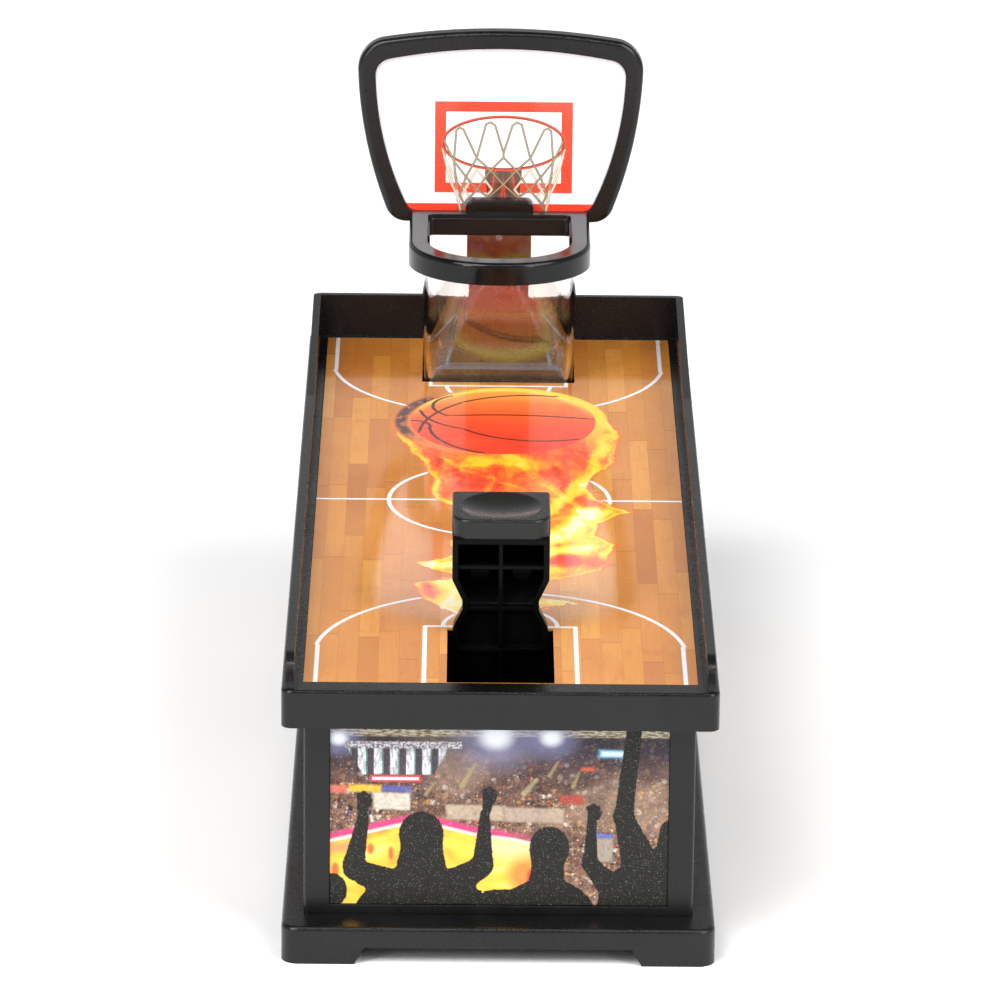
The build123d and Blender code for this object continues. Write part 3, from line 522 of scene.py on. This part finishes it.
# ---------------------------------------------------------------- arena picture
# All of it is drawn over x (-46..46, along the picture) and y (12..64, up it).
LAMPS = ((-42.5, 59.6, 4.0), (-1.0, 60.5, 7.5), (13.6, 60.2, 5.0))        # x, y, size
AISLES = (((-10.0, 46.5), (-6.4, 52.6), 0.7), ((6.6, 44.6), (9.8, 48.4), 0.8),
          ((13.2, 49.6), (15.4, 53.4), 0.5), ((-19.5, 44.0), (-17.5, 47.0), 0.5),
          ((19.5, 46.5), (21.0, 50.5), 0.5))                              # foot, head, half width
BALCONIES = ((-40.2, -31.2, 44.0, 45.9, (240, 196, 44)), (-31.0, -23.2, 44.1, 45.8, (84, 92, 160)),
             (-46.0, -40.6, 43.4, 45.6, (206, 110, 92)), (-33.4, -23.6, 39.2, 43.8, (214, 206, 190)),
             (16.0, 22.4, 42.0, 44.4, (170, 62, 48)), (1.4, 17.0, 36.6, 40.6, (176, 158, 140)),
             (-14.0, 1.2, 36.8, 41.0, (182, 164, 142)), (21.6, 25.0, 51.4, 52.4, (206, 92, 62)),
             (25.9, 33.2, 55.3, 57.5, (92, 186, 222)), (24.4, 30.2, 26.0, 32.6, (160, 150, 136)),
             (24.0, 30.0, 32.8, 33.8, (76, 110, 190)))                    # x0, x1, y0, y1, colour
PLAYERS = ((-43.4, 22.4, 1.0, 2.2), (-34.0, 28.6, 0.9, 1.5), (-28.6, 27.4, 0.7, 1.8),
           (-30.9, 22.3, 0.6, 0.8), (8.2, 20.4, 0.8, 2.6))                # x, y, half width, half height
BODIES = ((-20.6, 33.0, 5.9, 6.2),                                       # ellipse: x, y, half sizes
          ((-20.4, 31.0), (-20.6, 20.0), 5.2, 7.4),                       # bar: two ends, their radii
          (-20.0, 8.0, 19.0, 14.6),
          ((-27.0, 18.0), (-38.2, 22.6), 4.6, 3.0), ((-38.4, 24.6), (-35.9, 37.6), 2.9, 1.45),
          ((-12.0, 19.0), (-4.6, 23.6), 4.2, 3.0), ((-4.2, 25.4), (-3.8, 38.6), 2.7, 1.25),
          (13.4, 29.2, 5.3, 6.1), ((13.0, 26.0), (12.8, 18.0), 4.2, 4.8), (12.8, 9.0, 13.4, 11.4),
          ((30.0, 18.0), (24.4, 24.6), 3.6, 2.2), ((24.2, 25.4), (24.6, 35.6), 2.0, 1.25),
          (38.2, 9.0, 12.4, 17.0), ((38.6, 22.0), (33.0, 38.0), 5.6, 2.6),
          ((33.0, 38.6), (35.8, 66.0), 2.5, 2.0), ((46.4, 34.0), (45.6, 22.0), 3.8, 5.4),
          (-44.4, 16.8, 4.2, 4.8), (0.5, 8.0, 12.0, 9.4))
HANDS = ((-36.1, 41.6, 1.0), (-3.0, 43.0, 1.0), (24.7, 38.6, 0.85))       # x, y, size
KNUCKLES = ((-0.8, 1.9), (0.3, 2.4), (1.3, 1.8))


def stands(t, x, y, seed, big):
    """Rows of spectators: dark at the top, warmer and busier lower down."""
    depth = t.smooth(y, 58.0, 38.0)
    col = t.mix(depth, lin(54, 46, 58), lin(134, 98, 78))
    col = t.mix(t.smooth(big, 0.45, 0.7) * 0.5, col, lin(58, 46, 44))
    soft = t.vec(x + big * 2.0, y * 1.1, seed)
    lit = t.smooth(big, 0.64, 0.40) * 0.6 + 0.4
    for scale, limit, lift in ((0.62, 0.56, 1.0), (1.35, 0.46, 0.95)):
        dist, crowd = t.cells(soft, scale)
        red, green, _ = t.xyz(crowd)
        face = t.ramp(red, [(0.0, lin(20, 14, 18)), (0.26, lin(92, 54, 44)), (0.44, lin(196, 146, 116)),
                            (0.58, lin(236, 222, 208)), (0.74, lin(184, 62, 46)), (0.82, lin(214, 166, 92)),
                            (0.92, lin(104, 108, 148)), (1.0, lin(248, 242, 236))], "CONSTANT")
        amount = t.smooth(dist, limit + 0.14, limit - 0.30) * t.smooth(green, 0.1, 0.6) * lit
        amount = amount * (depth * 0.85 + 0.12)
        col = t.mix(amount * lift, col, face)
    gaps = t.noise(soft, 1.5, 4.0, 0.75)
    col = t.mix(t.smooth(gaps, 0.56, 0.40) * (depth * 0.5 + 0.2), col, lin(34, 22, 22))
    haze = t.noise(t.vec(x * 0.035, y * 0.06, seed + 2.0), 1.0, 2.0, 0.5)
    col = t.mix(t.smooth(haze, 0.42, 0.66) * 0.25, col, lin(206, 176, 150))
    shade = t.noise(t.vec(x * 0.16, y * 0.22, seed), 1.0, 3.0, 0.5)
    return t.mix(t.smooth(shade, 0.5, 0.7) * 0.5, col, lin(46, 34, 36))


def roof_and_lamps(t, p, x, y, col):
    streaks = t.noise(t.vec(x * 0.5, y * 2.0, 1.0), 1.0, 3.0)
    roof = t.mix(t.smooth(streaks, 0.4, 0.6), lin(206, 198, 176), lin(122, 104, 76))
    col = t.mix(t.smooth(y, 60.0, 60.7), col, roof)
    for lx, ly, size in LAMPS:
        off = t.v("MULTIPLY", t.v("SUBTRACT", p, (lx, ly, 0.0)), (1.0, 1.25, 0.0))
        far = t.v("LENGTH", off, out=1)
        col = t.mix(t.smooth(far, size * 2.1, size * 0.3) * 0.55, col, lin(152, 156, 200))
        col = t.mix(t.smooth(far, size * 0.85, size * 0.2), col, lin(246, 250, 255))
    for foot, head, wide in AISLES:
        aisle = t.segment(p, foot, head, wide, wide * 0.5)
        col = t.mix(t.cover(aisle, 0.6) * 0.6, col, lin(168, 156, 112))
    return col


def score_cube(t, p, x, y, col):
    """Hanging score board with blank panels, its truss and a blank ribbon below it."""
    cube = t.mx(y - 58.8, 49.6 - y, t.ab(x + 26.8) - t.smooth(y, 49.0, 57.5, 9.6, 13.2))
    bars = t.m("FRACT", x * 0.235 + 0.1)
    tint, _ = t.white(t.vec(t.m("FLOOR", x * 0.47), t.m("FLOOR", y * 0.6), 2.0))
    panel = t.ramp(bars, [(0.0, lin(70, 62, 66)), (0.22, lin(96, 92, 100)), (0.3, lin(232, 232, 236)),
                          (0.72, lin(222, 222, 226)), (0.8, lin(84, 140, 122)), (0.9, lin(70, 60, 72))],
                   "CONSTANT")
    panel = t.mix(t.smooth(tint, 0.55, 0.8) * 0.4, panel, lin(84, 74, 84))
    scratch = t.noise(t.vec(x * 1.6, y * 0.5, 4.0), 1.0, 3.0)
    panel = t.mix(t.smooth(scratch, 0.45, 0.62) * 0.5, panel, lin(66, 56, 62))
    col = t.mix(t.cover(cube, 0.3), col, panel)
    truss = t.mx(t.ab(y - 57.9) - 0.95, t.ab(x + 25.4) - 15.4)
    bracing = t.mix(t.smooth(t.noise(p, 1.6, 2.0), 0.42, 0.58), lin(214, 212, 214), lin(120, 112, 118))
    col = t.mix(t.cover(truss, 0.3), col, bracing)
    ribbon = t.box(x, y, -34.2, -20.8, 47.5, 49.4)
    band = t.mix(t.cover(ribbon + 0.55, 0.3), lin(216, 52, 66), lin(250, 226, 228))
    return t.mix(t.cover(ribbon, 0.3), col, band)


def balconies(t, x, y, seed, big, col):
    """Balcony fronts and banners as plain, slightly worn blocks of colour."""
    worn = t.smooth(t.noise(t.vec(x, y, seed + 4.0), 0.9, 3.0, 0.6), 0.34, 0.6, 0.62, 0.92)
    for x0, x1, y0, y1, colour in BALCONIES:
        front = t.box(x + big * 2.0, y + x * 0.02, x0 + 1.0, x1 + 1.0, y0, y1)
        col = t.mix(t.cover(front, 0.8) * worn, col, lin(*colour))
    sign = t.cover(t.box(x + big * 2.0, y + x * 0.02, 27.6, 33.6, 55.75, 57.1), 0.8)
    return t.mix(sign * 0.85, col, lin(232, 246, 250))


def playing_floor(t, p, x, y, seed, col):
    """Bright floor with boards round it, and the small players on it."""
    far_side = 38.9 - t.ab(x + 21.6) * 0.25 + t.smooth(x, -8.0, 6.0) * 1.3
    edge = y - far_side
    right_end = x - 9.6
    glow = t.noise(t.vec(x * 0.09, y * 0.16, seed), 1.0, 3.0, 0.5, 0.5) - 0.06
    glow = glow + t.smooth(y, 36.0, 22.0) * 0.12 + t.smooth(x, -44.0, -24.0) * 0.06
    floor = t.ramp(glow, [(0.22, lin(232, 96, 50)), (0.36, lin(244, 150, 58)), (0.50, lin(252, 188, 62)),
                          (0.66, lin(253, 208, 80)), (0.85, lin(255, 232, 150))])
    broken = t.smooth(t.noise(t.vec(x * 0.5, y * 1.2, seed), 1.0, 3.0), 0.34, 0.5, 0.45, 1.0)
    broken = broken * t.smooth(x, 8.0, -2.0, 0.35, 1.0)
    col = t.mix(t.cover(t.mx(edge, right_end), 0.7) * broken, col, lin(206, 62, 118))
    col = t.mix(t.cover(t.mx(edge + 1.9, right_end), 0.7), col, lin(248, 216, 204))
    col = t.mix(t.cover(t.mx(edge + 2.7, right_end), 0.5), col, floor)
    orange = t.mx(edge + 3.4, -(edge + 6.0), x + 37.0)
    col = t.mix(t.cover(orange, 1.6) * 0.8, col, lin(240, 142, 96))
    blush = t.smooth(t.ellipse(p, 3.0, 29.5, 6.0, 3.2), 3.0, -2.5) * 0.7
    col = t.mix(blush * t.cover(edge + 2.7, 0.5), col, lin(250, 206, 168))
    ember = t.smooth(t.ellipse(p, 7.0, 21.5, 4.0, 4.0), 3.0, -2.0) * 0.8
    col = t.mix(ember * t.cover(t.mx(edge + 2.7, right_end), 0.5), col, lin(240, 112, 58))
    for player in PLAYERS:
        col = t.mix(t.cover(t.ellipse(p, *player), 0.9) * 0.85, col, lin(222, 66, 52))
    return col


def fans(t, p, col):
    """Fans seen from behind, as plain dark shapes with raised, closed hands."""
    people = None
    for body in BODIES:
        shape = t.segment(p, *body) if isinstance(body[0], tuple) else t.ellipse(p, *body)
        people = shape if people is None else t.m("SMOOTH_MIN", people, shape, 2.0)
    for hx, hy, size in HANDS:
        palm = t.segment(p, (hx - 0.3, hy - 3.4), (hx + 0.3, hy + 1.1), 1.15, 1.8 * size)
        thumb = t.segment(p, (hx + 1.3, hy - 0.9), (hx + 2.1, hy + 0.8), 0.6, 0.5)
        fist = t.mn(palm, thumb)
        for kx, ky in KNUCKLES:
            knuckle = t.v("LENGTH", t.v("SUBTRACT", p, (hx + kx, hy + ky, 0.0)), out=1)
            fist = t.mn(fist, knuckle - 0.9)
        people = t.m("SMOOTH_MIN", people, fist, 0.8)
    gap = t.mn(t.segment(p, (-38.6, 19.2), (-37.2, 16.6), 0.4, 1.0),
               t.segment(p, (-3.4, 19.4), (-4.2, 16.6), 0.5, 0.25))
    people = t.mx(people, -gap)
    hair = t.noise(p, 0.9, 3.0, 0.6)
    people = people + (hair - 0.5) * 0.7
    return t.mix(t.cover(people, 0.3), col, lin(26, 25, 21))


def arena_group():
    """Node group with the whole arena picture, shared by the four picture materials."""
    g = bpy.data.node_groups.new("arena_picture", "ShaderNodeTree")
    for n in ("p", "q", "seed"):
        g.interface.new_socket(n, in_out="INPUT", socket_type="NodeSocketFloat")
    g.interface.new_socket("Color", in_out="OUTPUT", socket_type="NodeSocketColor")
    t = Tree(g)
    gin, gout = t.new("NodeGroupInput"), t.new("NodeGroupOutput")
    x, y, seed = (S(t, gin.outputs[i]) for i in range(3))
    p = t.vec(x, y, 0.0)
    big = t.noise(t.vec(x * 0.06, y * 0.09, seed), 1.0, 4.0, 0.6, 0.5)
    col = stands(t, x, y, seed, big)
    col = roof_and_lamps(t, p, x, y, col)
    col = score_cube(t, p, x, y, col)
    col = balconies(t, x, y, seed, big, col)
    col = playing_floor(t, p, x, y, seed, col)
    col = fans(t, p, col)
    # laminate specks over everything
    for scale, size, part, strength in ((1.35, 0.17, 0.60, 0.75), (2.6, 0.30, 0.45, 0.45)):
        fleck, tint = t.cells(t.vec(x, y, seed), scale)
        pick, shine, _ = t.xyz(tint)
        spots = t.smooth(fleck, size, size * 0.4) * t.smooth(pick, part, part + 0.1) * (shine * 0.7 + 0.2)
        col = t.mix(spots * strength, col, lin(220, 220, 216))
    t.put(gout.inputs[0], col)
    return g


def picture_material(name, group, mapping, seed):
    mat, t, bsdf = material(name, (0.3, 0.2, 0.15, 1), 0.42, coat=0.0, specular=0.3)
    x, y, z = t.place()
    n = t.new("ShaderNodeGroup")
    n.node_tree = group
    t.put(n.inputs[0], mapping(t, x, y))
    t.put(n.inputs[1], z)
    n.inputs[2].default_value = seed
    t.put(bsdf.inputs["Base Color"], S(t, n.outputs[0]))
    p = t.vec(x, y, z)
    tooth = t.noise(p, 2.6, 4.0, 0.7)
    t.put(bsdf.inputs["Roughness"], t.smooth(tooth, 0.3, 0.7, 0.36, 0.5))
    bump(t, bsdf, tooth, 0.35, 0.00006)
    return mat


# ---------------------------------------------------------------- materials
base_mat = plastic("black_satin", (0.0036, 0.0036, 0.0040, 1.0), 0.30, grain=0.12, specular=0.36)
tray_mat = plastic("black_semigloss", (0.0034, 0.0034, 0.0038, 1.0), 0.24, grain=0.10, specular=0.36)
rim_mat = plastic("black_polish", (0.0030, 0.0030, 0.0034, 1.0), 0.16, grain=0.05, specular=0.30)
# The launcher lever's base colour is darker than that of the other black plastics, and its specular is
# weaker: the darker colour is painted shade, standing in for the shade of the recess the lever sits in.
lever_painted_shade_mat = plastic("black_gloss_painted_shade", (0.0005, 0.0005, 0.0004, 1.0), 0.12, grain=0.04, specular=0.07)
pad_mat = plastic("grey_grain", (0.0075, 0.0075, 0.0072, 1.0), 0.22, grain=0.03, grain_size=3.2,
                  specular=0.34)
rubber_mat = plastic("black_rubber", (0.012, 0.012, 0.012, 1.0), 0.75, grain=0.5)
steel_mat = metal("plain_steel", (0.55, 0.55, 0.56, 1.0), 0.3)
zinc_mat = metal("zinc_plate", (0.50, 0.50, 0.47, 1.0), 0.38)
spring_mat = metal("spring_wire", (0.42, 0.42, 0.43, 1.0), 0.28)

paint(base_mat, "base_plate", "body_shell", "launcher_bracket", "column")
paint(tray_mat, "tray", "backboard_frame")
paint(rim_mat, "rim")
paint(lever_painted_shade_mat, "launcher_lever")
paint(pad_mat, "finger_pad")
paint(rubber_mat, "stop_block")
paint(steel_mat, "lever_pin", "pin_clips")
paint(spring_mat, "return_spring")
paint(zinc_mat, "base_screws", "tray_screws", "bracket_screws", "column_screws", "backboard_screws")
paint(court_material(), "court_sheet")
paint(board_material(), "backboard_print")

arena = arena_group()
lo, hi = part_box("picture_left")
side_half = (hi.y - lo.y) * 500.0


def along_side(sign):
    def mapping(t, x, y):
        third = side_half * 2.0 / 3.0
        return t.m("PINGPONG", y * sign + side_half, third) * (92.0 / third) - 46.0
    return mapping


paint(picture_material("arena_front", arena, lambda t, x, y: x + 0.0, 1.0), "picture_front")
paint(picture_material("arena_back", arena, lambda t, x, y: -x, 6.0), "picture_back")
paint(picture_material("arena_left", arena, along_side(-1.0), 11.0), "picture_left")
paint(picture_material("arena_right", arena, along_side(1.0), 17.0), "picture_right")

paint(clear_material(), "hopper")


# ---------------------------------------------------------------- skirt inside the rim
def rim_skirt():
    """Thin wall hanging from the rim behind and beside the opening, following its outline."""
    lo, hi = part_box("rim")
    flange, corner, wall, gap = 0.0056, 0.002, 0.0006, 0.00005
    half, back, front = hi.x - flange - gap, hi.y - flange - gap, lo.y + 0.034
    bottom, top = lo.z + 0.0002, lo.z + 0.0056
    path = [(-half, front, -1.0, 0.0)]
    for k in range(7):
        a = math.pi - k * math.pi / 12
        path.append((-half + corner + corner * math.cos(a), back - corner + corner * math.sin(a),
                     math.cos(a), math.sin(a)))
    path += [(-x, y, -nx, ny) for x, y, nx, ny in reversed(path)]
    section = [(0.0, top), (wall * 0.6, top), (wall, top - wall * 0.5), (wall, bottom + wall * 0.6),
               (wall * 0.6, bottom), (wall * 0.1, bottom), (0.0, bottom + wall * 0.3)]
    n = len(section)
    verts = [(x - nx * d, y - ny * d, z) for x, y, nx, ny in path for d, z in section]
    faces = [(i * n + k, i * n + (k + 1) % n, (i + 1) * n + (k + 1) % n, (i + 1) * n + k)
             for i in range(len(path) - 1) for k in range(n)]
    faces += [tuple(reversed(range(n))), tuple(range(len(verts) - n, len(verts)))]
    me = bpy.data.meshes.new("rim_skirt")
    me.from_pydata(verts, [], faces)
    me.update()
    piece = bpy.data.objects.new("rim_skirt", me)
    scene.collection.objects.link(piece)
    me.materials.append(rim_mat)
    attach(piece, "console")


rim_skirt()

# ---------------------------------------------------------------- floor, light, camera
me = bpy.data.meshes.new("floor")
s = 6.0
me.from_pydata([(-s, -s, 0), (s, -s, 0), (s, s, 0), (-s, s, 0)], [], [(0, 1, 2, 3)])
floor = bpy.data.objects.new("floor", me)
scene.collection.objects.link(floor)
floor_mat = material("pale_floor", (0.965, 0.965, 0.965, 1), 0.9, specular=0.1)[0]
me.materials.append(floor_mat)

world = bpy.data.worlds.new("studio")
scene.world = world
world.use_nodes = True
wt = Tree(world.node_tree)
wc = wt.new("ShaderNodeTexCoord")
_, _, up = wt.xyz(S(wt, wc.outputs["Generated"]))
sky = wt.ramp(up, [(0.0, 0.60), (0.30, 0.55), (0.42, 0.48), (0.62, 0.16), (1.0, 0.12)])
wt.put(world.node_tree.nodes["Background"].inputs[0], sky)
world.node_tree.nodes["Background"].inputs[1].default_value = 1.0


def sun(name, place, strength, spread):
    data = bpy.data.lights.new(name, "SUN")
    data.energy = strength
    data.angle = math.radians(spread)
    obj = bpy.data.objects.new(name, data)
    scene.collection.objects.link(obj)
    obj.rotation_euler = Vector(place).to_track_quat("Z", "Y").to_euler()


def area(name, place, target, size, power):
    data = bpy.data.lights.new(name, "AREA")
    data.shape = "RECTANGLE"
    data.size, data.size_y = size
    data.energy = power
    obj = bpy.data.objects.new(name, data)
    scene.collection.objects.link(obj)
    obj.location = place
    obj.rotation_euler = (Vector(target) - Vector(place)).to_track_quat("-Z", "Y").to_euler()
    return obj


sun("key_sun", (-0.55, -0.62, 1.0), 2.2, 36.0)
sun("fill_sun", (0.75, -0.55, 0.9), 1.75, 36.0)
area("left_strip", (-0.75, -0.9, 0.55), (0, -0.1, 0.1), (0.16, 0.5), 4.0)
area("right_strip", (0.7, -0.95, 0.6), (0, -0.1, 0.1), (0.16, 0.5), 3.0)
area("edge_strip", (0.0, -0.35, 0.9), (0, -0.1, 0.1), (0.6, 0.025), 1.6)

PITCH, YAW, ROLL = math.radians(17.72), math.radians(0.340), math.radians(0.590)
cam_data = bpy.data.cameras.new("camera")
cam_data.sensor_width = 36.0
cam_data.lens = 36.0 * 6.620
cam_data.clip_start, cam_data.clip_end = 0.05, 50.0
cam = bpy.data.objects.new("camera", cam_data)
scene.collection.objects.link(cam)
cam.matrix_world = (Matrix.Translation((-0.0104, -1.7891, 0.6513)) @ Matrix.Rotation(-YAW, 4, "Z")
                    @ Matrix.Rotation(math.pi / 2 - PITCH, 4, "X") @ Matrix.Rotation(ROLL, 4, "Z"))
scene.camera = cam
scene.view_settings.view_transform = "Standard"
scene.view_settings.look = "None"
